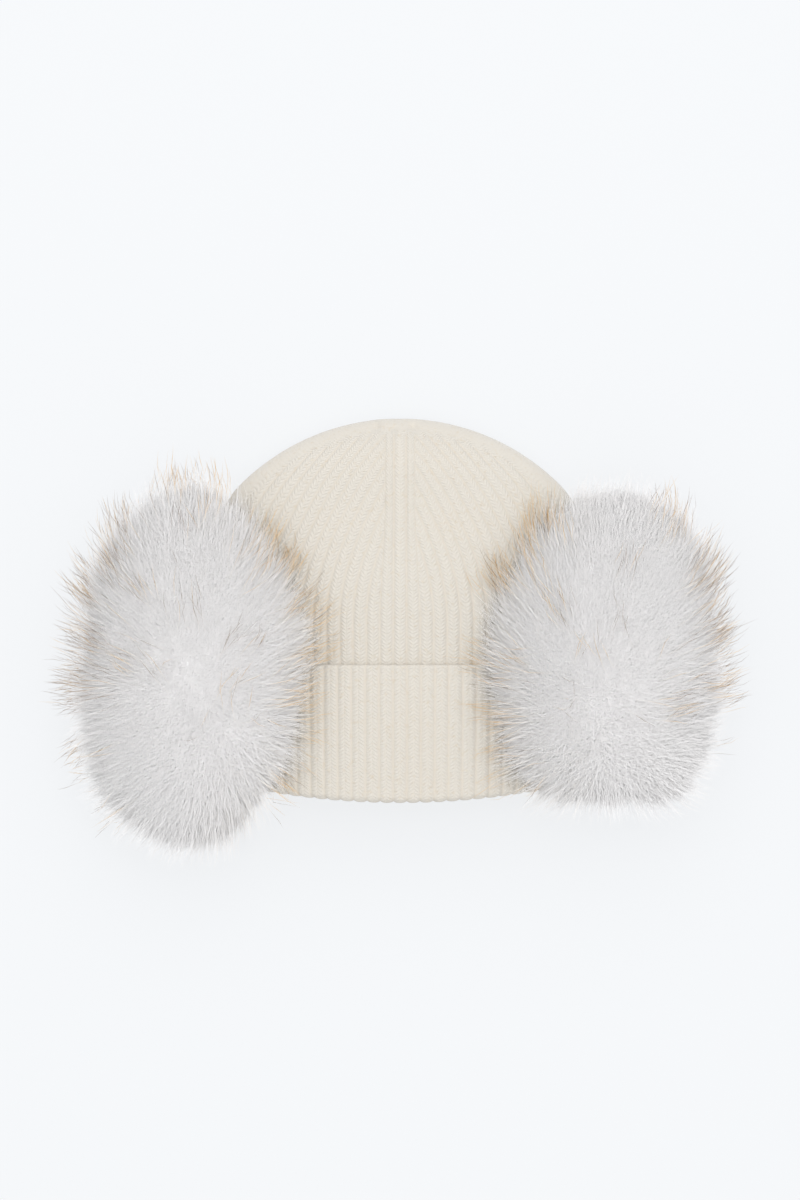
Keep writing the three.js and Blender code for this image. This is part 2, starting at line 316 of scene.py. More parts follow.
# Colours
KNIT_CREAM = (0.655, 0.622, 0.565, 1)
KNIT_WARM = (0.655, 0.61, 0.542, 1)
# painted shade of the stitches, as small warm specks strewn at random over the knit
KNIT_SPECK_SHADE = (0.61, 0.535, 0.43, 1)
# painted shade in the ribs' furrows and in the low gaps between the stitches
KNIT_FURROW_SHADE = (0.61, 0.52, 0.41, 1)
KNIT_GAP_SHADE = (0.57, 0.50, 0.41, 1)
FUR_WHITE = (0.965, 0.948, 0.942, 1)
FUR_DULL = (0.79, 0.765, 0.755, 1)
# painted warm light, for the shaded crease where the fur meets the hat
FUR_WARM_LIGHT = (0.98, 0.925, 0.85, 1)
TAN_ROOT, TAN_TIP = (0.94, 0.91, 0.87, 1), (0.66, 0.42, 0.17, 1)
BROWN_ROOT, BROWN_TIP = (0.93, 0.89, 0.865, 1), (0.10, 0.045, 0.025, 1)
TIP_START, TIP_END = 0.4, 0.68  # shares of a tinted hair's length
BACKING_LOW = (0.93, 0.915, 0.91, 1)
BACKING_HIGH = (0.96, 0.945, 0.94, 1)
TABLE_PAINT = (0.15, 0.153, 0.158, 1)
DAYLIGHT = (0.97, 0.985, 1.0, 1)

# How the knit's materials draw its stitches
LEG_SLANT = 2.4  # stitches that a leg of a V runs up across one rib
LEG_MIDDLE = 0.21  # share of a rib from its crest to the middle of a leg
LEG_NARROWNESS = 4.2
LEG_POWER = 2.5
FURROW_START = 0.36
FURROW_GAIN = 7.0
UNEVENNESS = 0.9
PATCH_SCALE = 26.0
SPECK_SHADE_SCALE = 420.0
# small warm specks of painted stitch shade, strewn at random
SPECK_SHADE_START = 0.56
SPECK_SHADE_GAIN = 3.4
FIBRE_SCALE = 1500.0
FIBRE_HEIGHT = 0.5
FURROW_SHADE = 0.24
GAP_SHADE = 0.16
STITCH_BUMP = dict(strength=0.6, distance=0.0006)
BACKING_BUMP = dict(strength=0.8, distance=0.002)

# How the fur's material reads the kinds of hair
DULLING = 1.2
WARM_LIGHT_GAIN = 4.5
TAN_START = 0.45
BROWN_START = 0.72
KIND_GAIN = 5.0

# Stage, in metres
TABLE_REACH = 40.0
TABLE_GLOW = 0.75
SKY_STRENGTH = 0.8
LAMPS = [
    dict(name="window", at=(0.0, 1.7, 1.9), size=1.8, power=15.5),
    dict(name="overhead", at=(0.1, 0.1, 2.6), size=1.5, power=27.0),
]
CAMERA_HEIGHT = 1.5
FRAME_HEIGHT = 0.69
FRAME_MIDDLE = 0.0052
SENSOR = 36.0  # in millimetres

DOME_Y = CROWN_END - DOME_RADIUS
SHOULDER_RADIUS = (HALF_WIDTH - DOME_RADIUS * math.sin(DOME_SLOPE)) / (
    1 - math.sin(DOME_SLOPE)
)
SHOULDER_X = HALF_WIDTH - SHOULDER_RADIUS
SHOULDER_Y = DOME_Y + (DOME_RADIUS - SHOULDER_RADIUS) * math.cos(DOME_SLOPE)


# Small helpers


def mix(a, b, t):
    return a + (b - a) * t


def ease(t):
    s = np.clip(t, 0, 1)
    return s * s * (3 - 2 * s)


def arc(length, radius):
    return np.sqrt(np.maximum(radius**2 - np.square(length), 0))


def unit(vectors):
    length = np.linalg.norm(vectors, axis=-1, keepdims=True)
    return vectors / np.maximum(length, 1e-9)


def smooth_round(points):
    """A smooth closed run through points that stand evenly round a turn."""

    def at(turn):
        t = np.mod(turn, 1) * len(points)
        k = np.floor(t).astype(int) % len(points)
        u = (t - np.floor(t))[..., None]
        p0, p1, p2, p3 = (points[(k + i) % len(points)] for i in (-1, 0, 1, 2))
        return 0.5 * (
            2 * p1
            + (p2 - p0) * u
            + (2 * p0 - 5 * p1 + 4 * p2 - p3) * u**2
            + (3 * p1 - p0 - 3 * p2 + p3) * u**3
        )

    return at


# The hat's surface


def half_width(y, inset):
    edge = DOME_RADIUS - inset
    dome = arc(y - DOME_Y, edge)
    side = SHOULDER_X + arc(np.maximum(y - SHOULDER_Y, 0), SHOULDER_RADIUS - inset)
    return np.where(y - DOME_Y > edge * math.cos(DOME_SLOPE), dome, side)


def up_the_hat(y, column):
    ys = np.array([row["y"] for row in LENGTHWISE], float)
    values = np.array([row[column] for row in LENGTHWISE], float)
    k = np.clip(np.searchsorted(ys, y) - 1, 0, len(ys) - 2)
    return mix(values[k], values[k + 1], ease((y - ys[k]) / (ys[k + 1] - ys[k])))


def section(y, inset):
    """Half width, widest height, top and underside of the hat's cross-section at y."""
    ahead = np.maximum((y - CROWN_END + NOSE) / (NOSE - inset), 0)
    swell = arc(ahead, 1)
    lift = LAYER * ease((CUFF_TOP + LAYER - y) / LAYER)
    front = mix(NOSE_HEIGHT, up_the_hat(y, "front") - inset, swell)
    back = mix(NOSE_HEIGHT, lift + inset, swell)
    return half_width(y, inset), up_the_hat(y, "widest"), front, back


def is_inside(x, y, z, inset):
    half, widest, front, back = section(y, inset)
    upper = z > widest
    reach = np.maximum(np.where(upper, front - widest, widest - back + SINK), TINY)
    power = np.where(upper, FRONT_ROUNDNESS, BACK_ROUNDNESS)
    across = np.abs(x) / np.maximum(half, TINY)
    upright = np.abs(z - widest) / reach
    with np.errstate(over="ignore"):
        within = across**power + upright**power < 1
    return within & (y <= CROWN_END - inset) & (z >= back) & (half > 0.01)


def outlines(y, inset):
    """The hat's outline at each y, from the middle of the front round, as many points."""
    angle = np.arange(RAYS) / RAYS * 2 * math.pi
    y, inset = y[:, None], inset[:, None]
    near = np.zeros((len(y), RAYS))
    far = np.full((len(y), RAYS), 2.0 * HALF_WIDTH)
    for _ in range(HALVINGS):
        middle = (near + far) / 2
        x = np.sin(angle) * middle
        z = NOSE_HEIGHT + np.cos(angle) * middle
        held = is_inside(x, y, z, inset)
        near = np.where(held, middle, near)
        far = np.where(held, far, middle)
    x = np.sin(angle) * near
    z = NOSE_HEIGHT + np.cos(angle) * near
    return np.stack([x, np.broadcast_to(y, x.shape), z], -1)


# Ribs


def leaning(y):
    """How far the ribs have leant towards the middle by y, and how steeply they lean."""
    t = np.maximum(y - LEAN_START, 0) / LEAN_LENGTH
    steepness = LEAN_REACH / LEAN_LENGTH * LEAN_POWER * t ** (LEAN_POWER - 1)
    return LEAN_REACH * t**LEAN_POWER, steepness


def rib_sizes(size, y):
    """Spacing of the ribs, and half the width of the band up the middle, for outlines at y."""
    narrow = mix(1, BAND_NARROWING, ease((y - NARROW_START) / NARROW_LENGTH))
    kept = QUARTER_RIBS - BAND_RIBS + 0.5 + narrow
    pitch = mix(size / 4 / kept, TOP_PITCH, ease((y - LEAN_START) / TOP_PITCH_LENGTH))
    band = np.minimum(pitch * (0.5 + narrow), BAND_MOST * size)
    return pitch, band


def rib_count(along, size, y):
    """Ribs counted from the middle of the front or back; those that ended lower down count."""
    pitch, band = rib_sizes(size, y)
    lean, _ = leaning(y)
    off = np.mod(along, size / 2)
    off = np.minimum(off, size / 2 - off)
    inner = off / pitch
    outer = 0.5 + (off - pitch / 2) / (band - pitch / 2) * (BAND_RIBS - 0.5)
    in_band = np.where(off < pitch / 2, inner, outer)
    side_hold = SIDE_HOLD * (1 - ease((y - SIDE_HOLD_UNTIL) / SIDE_HOLD_FADE))
    held = lean * (1 - side_hold * (off / (size / 4)) ** 3)
    beside = BAND_RIBS + (off - band + held) / pitch
    return np.where(off < band, in_band, beside), off


def rib_height(count):
    """0 in a furrow, 1 on a crest."""
    return 1 - (np.abs(count - np.round(count)) * 2) ** FURROW_POWER


def rim_fade(points):
    """How far the ribs run out into the smooth turn along the crown's outline."""
    x, y, z = points[..., 0], points[..., 1], points[..., 2]
    from_edge = DOME_RADIUS - np.hypot(x, y - DOME_Y)
    below = ease((UNDER_RIM - z) / UNDER_RIM_BLEND)
    high = ease((y - RIM_START) / RIM_RUN_IN)
    return high * ease((RIM - from_edge) / RIM_BLEND) * (1 - UNDER_RIM_RIBS * below)


def columns_of(size, band):
    """How far round an outline its columns stand, closer in the bands up front and back."""
    quarter = size / 4
    near = np.linspace(0, band, BAND_COLUMNS, endpoint=False)
    side = np.linspace(band, quarter, SIDE_COLUMNS, endpoint=False)
    first = np.concatenate([near, side])
    second = size / 2 - np.append(quarter, first[:0:-1])
    half = np.concatenate([first, second])
    return np.concatenate([half, half + size / 2])


def knit_surface(rows):
    """Points of a knitted surface over rows of y, inset and rib depth, and its knit map."""
    y, inset, depth = (np.array(column, float) for column in zip(*rows))
    rays = outlines(y, inset)
    closed = np.concatenate([rays, rays[:, :1]], 1)
    walk = np.cumsum(np.linalg.norm(np.diff(closed, axis=1), axis=-1), 1)
    walk = np.concatenate([np.zeros((len(y), 1)), walk], 1)
    size = walk[:, -1]
    _, band = rib_sizes(size, y)
    along = np.stack([columns_of(s, b) for s, b in zip(size, band)])
    points = np.stack(
        [
            np.stack([np.interp(a, w, c) for c in line.T], -1)
            for a, w, line in zip(along, walk, closed)
        ]
    )
    size, y, depth = size[:, None], y[:, None], depth[:, None]
    count, _ = rib_count(along, size, y)
    beside = np.roll(points, -1, 1) - np.roll(points, 1, 1)
    inward = unit(np.cross([0, 1, 0], beside))
    smooth = rim_fade(points)
    free = ease(points[..., 2] / PRESSED - PRESSED_FLAT)
    free = free * (1 - smooth) * np.minimum(size / FULL_SIZE, 1)
    sunk = depth * free * (1 - rib_height(count))
    front = (points[..., 2] > GATHER_FLOOR) & (depth > 0)
    for fold in GATHERS:
        away = np.hypot(points[..., 0] - fold["x"], points[..., 1] - fold["y"])
        sunk = sunk + front * fold["depth"] * np.exp(-((away / fold["radius"]) ** 2))
    points = points + inward * sunk[..., None]
    at_hem = ease((HEM + SCALLOP_HEIGHT - y) / SCALLOP_HEIGHT) * (depth > 0)
    points[..., 1] += at_hem * HEM_SCALLOP * (1 - rib_height(count))
    sides = np.minimum(np.abs(points[..., 0]) / BOW_REACH, BOW_MOST) ** 2
    points[..., 1] += HEM_BOW * sides * ease((BOW_TOP - y) / BOW_BLEND)
    return points, knit_map(points, smooth, along, size, y)


def knit_map(points, smooth, along, size, y):
    """For each corner of each quad, its rib and its stitch; the smooth rim has no furrow."""
    step = size * 1e-5
    ends = np.concatenate([along[:, 1:], size], 1)
    lengthwise = np.linalg.norm(np.diff(points[:, 0], axis=0), axis=-1)
    down = np.append(0, np.cumsum(lengthwise))[:, None]
    up = down[-1] - down
    _, slope = leaning(y)
    _, band = rib_sizes(size, y)
    sides = []
    for place in (along + step, ends - step):
        count, off = rib_count(place, size, y)
        stitch = (up - COURSE_TILT * slope * np.maximum(off - band, 0)) / STITCH
        sides.append([count, stitch])
    (a, stitch_a), (b, stitch_b) = sides
    beyond = np.roll(smooth, -1, 1)
    crest = np.round((a[:-1] + a[1:] + b[:-1] + b[1:]) / 4)
    corners = []
    for count, stitch, fade in (
        (a[:-1], stitch_a[:-1], smooth[:-1]),
        (a[1:], stitch_a[1:], smooth[1:]),
        (b[1:], stitch_b[1:], beyond[1:]),
        (b[:-1], stitch_b[:-1], beyond[:-1]),
    ):
        corners.append(np.stack([crest + (count - crest) * (1 - fade), stitch], -1))
    return np.stack(corners, 2)


def quads_of(rows, columns, joined=False):
    """Quads over a grid whose columns close round, and whose rows may."""
    r = np.arange(rows if joined else rows - 1)[:, None]
    c = np.arange(columns)[None]
    below = (r + 1) % rows
    beside = (c + 1) % columns
    corners = [r * columns + c, below * columns + c, below * columns + beside]
    corners.append(r * columns + beside)
    return np.stack(np.broadcast_arrays(*corners), -1).reshape(-1, 4)


def fans_of(rows, columns):
    """Triangles from two points after the grid to its first and last rows."""
    rim = np.arange(columns)
    beyond = (rim + 1) % columns
    last = (rows - 1) * columns
    first_point = np.full(columns, rows * columns)
    first_fan = np.stack([first_point, rim, beyond], -1)
    last_fan = np.stack([first_point + 1, last + beyond, last + rim], -1)
    return first_fan, last_fan


# Meshes


def new_piece(name, points, groups, material, corner_map, map_name, normals=None):
    """A smooth piece from groups of faces, with a map for each corner of each face."""
    sizes = np.concatenate([np.full(len(g), g.shape[1]) for g in groups])
    corners = np.concatenate([g.ravel() for g in groups])
    mesh = bpy.data.meshes.new(name)
    mesh.vertices.add(len(points))
    mesh.vertices.foreach_set("co", (points * MM).astype(np.float32).ravel())
    mesh.loops.add(len(corners))
    mesh.loops.foreach_set("vertex_index", corners.astype(np.int32))
    mesh.polygons.add(len(sizes))
    starts = np.append(0, np.cumsum(sizes)[:-1]).astype(np.int32)
    mesh.polygons.foreach_set("loop_start", starts)
    mesh.polygons.foreach_set("use_smooth", np.ones(len(sizes), bool))
    layer = mesh.uv_layers.new(name=map_name)
    layer.uv.foreach_set("vector", corner_map.astype(np.float32).ravel())
    mesh.update(calc_edges=True)
    mesh.validate()
    if normals is not None:
        mesh.normals_split_custom_set_from_vertices(normals.reshape(-1, 3))
    piece = bpy.data.objects.new(name, mesh)
    bpy.context.scene.collection.objects.link(piece)
    mesh.materials.append(material)
    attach(piece, "root")
    return piece


# Materials


def shader(name):
    material = bpy.data.materials.new(name)
    material.use_nodes = True
    tree = material.node_tree
    return material, tree, tree.nodes["Principled BSDF"]


def wire(tree, source, target):
    tree.links.new(source, target)


def node(tree, kind, **settings):
    made = tree.nodes.new(kind)
    for key, value in settings.items():
        setattr(made, key, value)
    return made


def maths(tree, operation, *inputs, clamp=False):
    made = node(tree, "ShaderNodeMath", operation=operation, use_clamp=clamp)
    for socket, value in zip(made.inputs, inputs):
        if isinstance(value, (int, float)):
            socket.default_value = value
        else:
            wire(tree, value, socket)
    return made.outputs[0]


def past(tree, value, start, gain):
    """How far a value is past its start, times a gain, kept within 0 and 1."""
    return maths(tree, "MULTIPLY", maths(tree, "SUBTRACT", value, start), gain, clamp=True)


def between(tree, factor, a, b):
    made = node(tree, "ShaderNodeMix", data_type="RGBA")
    sockets = (made.inputs[0], made.inputs[6], made.inputs[7])
    for socket, value in zip(sockets, (factor, a, b)):
        if isinstance(value, (int, float, tuple)):
            socket.default_value = value
        else:
            wire(tree, value, socket)
    return made.outputs[2]


def noise(tree, place, scale, detail):
    made = node(tree, "ShaderNodeTexNoise")
    finished(made, {"Scale": scale, "Detail": detail})
    wire(tree, place, made.inputs["Vector"])
    return made.outputs[0]


def bumped(tree, surface, height, strength, distance):
    bump = node(tree, "ShaderNodeBump")
    finished(bump, {"Strength": strength, "Distance": distance})
    wire(tree, height, bump.inputs["Height"])
    wire(tree, bump.outputs[0], surface.inputs["Normal"])


def finished(made, finish):
    """Set the sockets whose value is the same all over."""
    for socket, value in finish.items():
        made.inputs[socket].default_value = value


def knit_stitches():
    """Group: the V stitches of a rib, from a map of ribs counted round and stitches up."""
    group = bpy.data.node_groups.new("knit_stitches", "ShaderNodeTree")
    for socket, side, kind in (
        ("Ribs and stitches", "INPUT", "NodeSocketVector"),
        ("Leg slant", "INPUT", "NodeSocketFloat"),
        ("Unevenness", "INPUT", "NodeSocketFloat"),
        ("Height", "OUTPUT", "NodeSocketFloat"),
        ("Furrow", "OUTPUT", "NodeSocketFloat"),
    ):
        group.interface.new_socket(socket, in_out=side, socket_type=kind)
    entry = group.nodes.new("NodeGroupInput")
    leave = group.nodes.new("NodeGroupOutput")
    parts = group.nodes.new("ShaderNodeSeparateXYZ")
    wire(group, entry.outputs["Ribs and stitches"], parts.inputs[0])
    turned = maths(group, "FRACT", maths(group, "ADD", parts.outputs[0], 0.5))
    off = maths(group, "ABSOLUTE", maths(group, "SUBTRACT", turned, 0.5))
    slanted = maths(group, "MULTIPLY", off, entry.outputs["Leg slant"])
    wobble = noise(group, entry.outputs["Ribs and stitches"], scale=1.3, detail=2.0)
    uneven = maths(group, "MULTIPLY", wobble, entry.outputs["Unevenness"])
    course = maths(group, "ADD", maths(group, "ADD", parts.outputs[1], slanted), uneven)
    wave = maths(group, "SUBTRACT", maths(group, "FRACT", course), 0.5)
    edge = maths(group, "MULTIPLY", maths(group, "ABSOLUTE", wave), 2.0)
    leg = maths(group, "SUBTRACT", 1.0, maths(group, "POWER", edge, LEG_POWER))
    from_leg = maths(group, "ABSOLUTE", maths(group, "SUBTRACT", off, LEG_MIDDLE))
    bulge = maths(group, "POWER", maths(group, "MULTIPLY", from_leg, LEG_NARROWNESS), 2.0)
    leg_round = maths(group, "SUBTRACT", 1.0, bulge, clamp=True)
    wire(group, maths(group, "MULTIPLY", leg, leg_round), leave.inputs["Height"])
    wire(group, past(group, off, FURROW_START, FURROW_GAIN), leave.inputs["Furrow"])
    return group


def knit_material(name, stitches, slant):
    """Cream wool with small warm specks of painted stitch shade, and painted shade in the
    furrows and between the stitches.
    """
    material, tree, surface = shader(name)
    ribs = node(tree, "ShaderNodeUVMap", uv_map="knit")
    knit = node(tree, "ShaderNodeGroup", node_tree=stitches)
    wire(tree, ribs.outputs[0], knit.inputs["Ribs and stitches"])
    finished(knit, {"Leg slant": slant, "Unevenness": UNEVENNESS})
    spot = node(tree, "ShaderNodeTexCoord").outputs["Object"]
    patches = noise(tree, spot, scale=PATCH_SCALE, detail=3.0)
    cream = between(tree, patches, KNIT_CREAM, KNIT_WARM)
    # painted stitch shade: small warm specks strewn at random
    shade_specks = noise(tree, spot, scale=SPECK_SHADE_SCALE, detail=2.0)
    cream = between(tree, past(tree, shade_specks, SPECK_SHADE_START, SPECK_SHADE_GAIN), cream, KNIT_SPECK_SHADE)
    # painted shade: darker in the furrows and where the stitches dip low
    sunk = maths(tree, "MULTIPLY", knit.outputs["Furrow"], FURROW_SHADE)
    shaded = between(tree, sunk, cream, KNIT_FURROW_SHADE)
    low = maths(tree, "SUBTRACT", 1.0, knit.outputs["Height"])
    painted_gap_shade = maths(tree, "MULTIPLY", low, GAP_SHADE)
    wire(tree, between(tree, painted_gap_shade, shaded, KNIT_GAP_SHADE), surface.inputs["Base Color"])
    finished(surface, {"Roughness": 0.92, "Specular IOR Level": 0.2})
    finished(surface, {"Sheen Weight": 0.3, "Sheen Roughness": 0.5})
    fibres = noise(tree, spot, scale=FIBRE_SCALE, detail=3.0)
    fibres = maths(tree, "MULTIPLY", fibres, FIBRE_HEIGHT)
    height = maths(tree, "ADD", knit.outputs["Height"], fibres)
    bumped(tree, surface, height, **STITCH_BUMP)
    return material


def root_to_tip(tree, along, root, tip):
    ramp = node(tree, "ShaderNodeValToRGB")
    first, last = ramp.color_ramp.elements
    first.color, first.position = root, TIP_START
    last.color, last.position = tip, TIP_END
    wire(tree, along, ramp.inputs[0])
    return ramp.outputs[0]


def fur_material(name):
    """White to tinted hair; its map has the kind of hair across, and root to tip upwards."""
    material, tree, surface = shader(name)
    hair = node(tree, "ShaderNodeUVMap", uv_map="OFBake")
    parts = node(tree, "ShaderNodeSeparateXYZ")
    wire(tree, hair.outputs[0], parts.inputs[0])
    kind, along = parts.outputs[0], parts.outputs[1]
    tan = root_to_tip(tree, along, TAN_ROOT, TAN_TIP)
    brown = root_to_tip(tree, along, BROWN_ROOT, BROWN_TIP)
    to_tan = past(tree, kind, TAN_START, KIND_GAIN)
    to_brown = past(tree, kind, BROWN_START, KIND_GAIN)
    to_warm_light = past(tree, kind, WHITE_KINDS, WARM_LIGHT_GAIN)
    dull = maths(tree, "MULTIPLY", kind, DULLING)
    colour = between(tree, dull, FUR_WHITE, FUR_DULL)
    # painted warm light on the white hairs beside the hat
    colour = between(tree, to_warm_light, colour, FUR_WARM_LIGHT)
    colour = between(tree, to_tan, colour, tan)
    colour = between(tree, to_brown, colour, brown)
    wire(tree, colour, surface.inputs["Base Color"])
    finished(surface, {"Roughness": 0.7, "Specular IOR Level": 0.1})
    return material


def backing_material():
    material, tree, surface = shader("fur_backing")
    spot = node(tree, "ShaderNodeTexCoord").outputs["Object"]
    mottle = noise(tree, spot, scale=240.0, detail=4.0)
    colour = between(tree, mottle, BACKING_LOW, BACKING_HIGH)
    wire(tree, colour, surface.inputs["Base Color"])
    finished(surface, {"Roughness": 0.95})
    bumped(tree, surface, mottle, **BACKING_BUMP)
    return material


# Hat pieces


def make_crown(material):
    """The body: one layer from the crown's far edge down to the inside of the hem's fold."""
    nose_start = CROWN_END - NOSE
    # Outside, from the crown's far edge to a little below the cuff's top, then plain
    rows = []
    for turn in np.radians(np.linspace(87, 0, NOSE_ROWS)):
        rows.append((CROWN_END - NOSE * (1 - math.sin(turn)), 0, RIB_DEPTH))
    for y in np.linspace(nose_start, CUFF_TOP - TUCK, BODY_ROWS)[1:]:
        rows.append((y, 0, RIB_DEPTH))
    rows += [(-60, 0, 0), (BODY_END, 0, 0)]
    # Inside, back up to the crown
    inside = [BODY_END, -80, -50, CUFF_TOP, CUFF_TOP + LAYER]
    inside += list(np.linspace(-10, nose_start, 8))
    for turn in np.radians(np.linspace(0, 84, 12))[1:]:
        inside.append(nose_start + (NOSE - KNIT) * math.sin(turn))
    rows += [(y, KNIT, 0) for y in inside]
    points, knit = knit_surface(rows)
    quads = quads_of(len(rows), COLUMNS)
    ends = np.stack([points[0].mean(0), points[-1].mean(0)])
    fans = fans_of(len(rows), COLUMNS)
    fan_map = np.zeros((sum(fan.size for fan in fans), 2))
    knit = np.concatenate([knit.reshape(-1, 2), fan_map])
    points = np.vstack([points.reshape(-1, 3), ends])
    faces = [quads, *fans]
    piece = new_piece("ribbed_crown", points, faces, material, knit, "knit")
    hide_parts("crown")


def make_cuff(material):
    """The same layer folded up over the body, with rounded edges."""
    edge = KNIT / 2
    fold = (KNIT + LAYER) / 2
    rows = []
    # Over the top edge, down the outside, round the hem's fold and up behind
    for turn in np.radians(np.linspace(180, 0, CUFF_EDGE_ROWS)):
        inset = -GAP - edge * (1 + math.cos(turn))
        depth = RIB_DEPTH if turn < 1.2 else EDGE_RIB_DEPTH
        rows.append((CUFF_TOP - edge * (1 - math.sin(turn)), inset, depth))
    for y in np.linspace(CUFF_TOP - edge, HEM + fold, CUFF_ROWS)[1:-1]:
        rows.append((y, -LAYER, RIB_DEPTH))
    for turn in np.radians(np.linspace(0, 180, FOLD_ROWS)):
        inset = KNIT - fold - fold * math.cos(turn)
        depth = RIB_DEPTH if turn < 2 else EDGE_RIB_DEPTH
        rows.append((HEM + fold * (1 - math.sin(turn)), inset, depth))
    behind = BODY_END - 0.1
    rows += [(behind, KNIT, 0), (behind, -GAP, 0)]
    points, knit = knit_surface(rows + rows[:1])
    quads = quads_of(len(rows), COLUMNS, joined=True)
    points = points[:-1].reshape(-1, 3)
    knit = knit.reshape(-1, 2)
    piece = new_piece("folded_cuff", points, [quads], material, knit, "knit")
    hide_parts("cuff")


# Muffs


def muff_outline(muff):
    """The muff's edge in plan as a closed smooth curve through the table's points."""
    angles = np.radians([row["towards"] for row in REACH])
    reach = np.array([row[muff["side"]] for row in REACH], float)
    return smooth_round(np.stack([np.cos(angles), np.sin(angles)], -1) * reach[:, None])


def on_muff(muff, outline, turn, rise, inset):
    power = 2 / MUFF_ROUNDNESS
    plan = outline(turn)
    length = np.linalg.norm(plan, axis=-1)
    across = np.cos(rise) ** power
    high = np.sign(rise) * np.abs(np.sin(rise)) ** power
    most = np.where(rise > 0, MUFF_RISE, MUFF_DROP)
    plan = plan * ((length - inset) * across / length)[..., None]
    z = MUFF_MIDDLE + (most - inset) * high
    return np.stack([plan[..., 0] + muff["x"], plan[..., 1] + muff["y"], z], -1)


def clear_of_hat(points, berth):
    """Points moved out of the hat, straight away from its middle line, and off the floor."""
    p = points.copy()
    x, y, z = p[..., 0], p[..., 1], p[..., 2]
    outside = np.where(y < CUFF_TOP + GAP, -LAYER, 0.0) - berth
    half, widest, front, back = section(np.clip(y, HEM, CROWN_END - 8), outside)
    upper = z > widest
    reach = np.where(upper, front - widest, widest - back + SINK)
    power = np.where(upper, FRONT_ROUNDNESS, BACK_ROUNDNESS)
    size = (np.abs(x / half) ** power + np.abs((z - widest) / reach) ** power) ** (1 / power)
    within = (size < 1) & (y > HEM - berth) & (y < CROWN_END)
    push = np.where(within, 1 / np.maximum(size, 0.2), 1)
    p[..., 0] = x * push
    p[..., 2] = np.maximum(widest + (z - widest) * push, FLOOR_CLEAR)
    return p, within


def lifted(out):
    """Outward directions turned upwards, except underneath."""
    up = np.array([0, 0, LIFT]) * np.clip(1 + out[..., 2:], 0, 1)
    return unit(out + up)


def rimward(rise):
    """1 at the muff's widest, and 0 on top."""
    return np.cos(rise) ** RIM_POWER


def fur_inset(muff, turn, rise, top, rim):
    """How far inside the muff's reach a coat ends, between its top and its rim."""
    edge = smooth_round(np.array([[row[muff["side"]]] for row in WHITE_EDGE], float))
    return mix(top, edge(turn)[..., 0] + rim, rimward(rise))


def make_padding(muff, outline, material):
    """The muff's body under its fur, and a little bare underneath."""
    columns, rows = PADDING_COLUMNS, PADDING_ROWS
    turn = np.arange(columns)[None].repeat(rows, 0) / columns
    rise = np.radians(np.linspace(PADDING_TOP, PADDING_FOOT, rows))
    rise = rise[:, None].repeat(columns, 1)
    inset = fur_inset(muff, turn, rise, PADDING_INSET, RIM_PADDING)
    grid, _ = clear_of_hat(on_muff(muff, outline, turn, rise, inset), BERTH)
    points = np.vstack([grid.reshape(-1, 3), grid[0].mean(0), grid[-1].mean(0)])
    faces = [quads_of(rows, columns), *fans_of(rows, columns)]
    out = unit(points - [muff["x"], muff["y"], MUFF_MIDDLE])
    flat_map = np.zeros((sum(f.size for f in faces), 2))
    name = muff["side"] + "_padding"
    piece = new_piece(name, points, faces, material, flat_map, "plain", lifted(out))
    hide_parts(muff["name"])


def strewn(muff, outline, count, rng):
    """Places strewn evenly over the free padding: root, way out, turn and rise."""
    places = SPARE_PLACES * count
    turn = rng.random(places)
    rise = np.arcsin(rng.uniform(math.sin(math.radians(LOWEST_ROOT)), 1, places))
    step = 1e-3

    def at(a, b):
        high = np.minimum(rise + b, math.pi / 2)
        inset = fur_inset(muff, turn + a, high, PADDING_INSET, RIM_PADDING)
        return on_muff(muff, outline, turn + a, high, inset)

    round_ = at(step, 0) - at(-step, 0)
    upward = at(0, step) - at(0, -step)
    out = np.cross(round_, upward)
    area = np.linalg.norm(out, axis=-1) / np.maximum(np.cos(rise), 0.02)
    root = at(0, 0)
    _, buried = clear_of_hat(root, ROOT_BERTH)
    even = rng.random(places) < area / np.quantile(area, DENSEST)
    chosen = np.flatnonzero(even & ~buried & (root[:, 2] > ROOT_FLOOR))[:count]
    return root[chosen], unit(out[chosen]), turn[chosen], rise[chosen]


def from_parting(muff, root):
    """The way to each root from the nearest point of the line that the fur is parted along."""
    top = MUFF_MIDDLE + MUFF_RISE - PADDING_INSET
    start, end = (np.array([*muff[key], top]) for key in ("parting", "parting_end"))
    line = end - start
    share = np.clip((root - start) @ line / (line @ line), 0, 1)
    return root - start - line * share[:, None]


def combed(muff, root, out, wander, rng):
    """Which way the fur lies at each root: away from the parting, and loosely near it."""
    away = from_parting(muff, root)
    near = np.exp(-(away**2).sum(-1) / PARTING_WIDTH**2)
    loose = wander + PARTING_LOOSENESS * near
    away = unit(away - out * (away * out).sum(-1, keepdims=True))
    away[:, 2] *= np.where(away[:, 2] < 0, DROOP, 1.0)
    return turned(away, out, rng.normal(0, loose))


def turned(vectors, axes, angles):
    c, s = np.cos(angles)[:, None], np.sin(angles)[:, None]
    dot = (vectors * axes).sum(-1, keepdims=True)
    return vectors * c + np.cross(axes, vectors) * s + axes * dot * (1 - c)


def nearest(points, guides):
    """The nearest guide to each point, found some points at a time to save memory."""
    best = np.empty(len(points), int)
    for start in range(0, len(points), POINTS_AT_ONCE):
        part = slice(start, start + POINTS_AT_ONCE)
        gap = ((points[part, None] - guides[None]) ** 2).sum(-1)
        best[part] = gap.argmin(1)
    return best


def hair_lines(root, out, lean, height, knots):
    """Lines of points that rise along out and bend over along lean."""
    t = np.linspace(0, 1, knots)[None, :, None]
    up = t * (1 + EARLY_RISE - EARLY_RISE * t)
    over = t * (EARLY_LEAN + (1 - EARLY_LEAN) * t)
    risen = root[:, None] + out[:, None] * up * height[:, None, None]
    return risen + lean[:, None] * over


